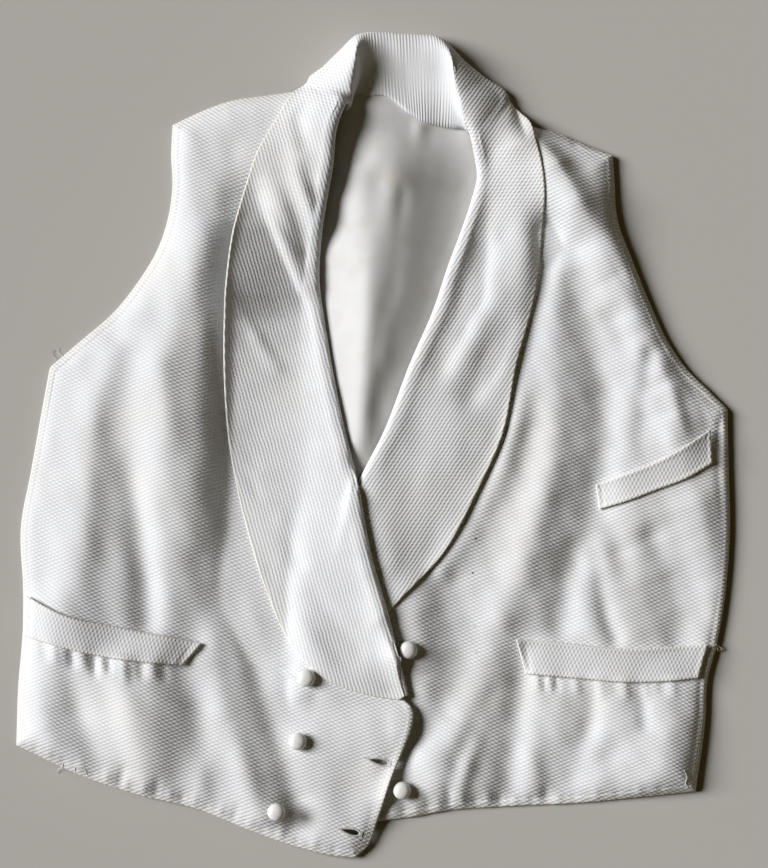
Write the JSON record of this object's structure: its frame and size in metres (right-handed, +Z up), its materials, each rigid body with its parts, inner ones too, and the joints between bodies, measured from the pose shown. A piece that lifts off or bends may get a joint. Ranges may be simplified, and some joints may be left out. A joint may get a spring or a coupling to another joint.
{
  "type": "waistcoat",
  "caption": "Double-breasted cotton pique waistcoat with a long shawl collar, lying flat on its back with one front over the other.",
  "frame": {"origin": "centre of the bounding box's bottom, on the surface that the garment lies on", "axes": "+X towards the wearer's left, +Y towards the collar, +Z up from the surface"},
  "size_m": [0.5179, 0.597, 0.0314],
  "materials": {
    "pique": "matte raised weave, white",
    "plain_cotton": "smooth plain weave, off-white",
    "button": "smooth white, slightly glossy"
  },
  "bodies": {
    "root": {"back": "plain_cotton", "front_left": "pique", "front_right": "pique", "collar_left": "pique", "collar_right": "pique", "welt_right": "pique", "welt_left": "pique", "welt_breast": "pique", "button_right_top": "button", "button_right_middle": "button", "button_right_low": "button", "button_left_top": "button", "button_left_middle": "button", "button_left_low": "button"}
  },
  "joints": []
}
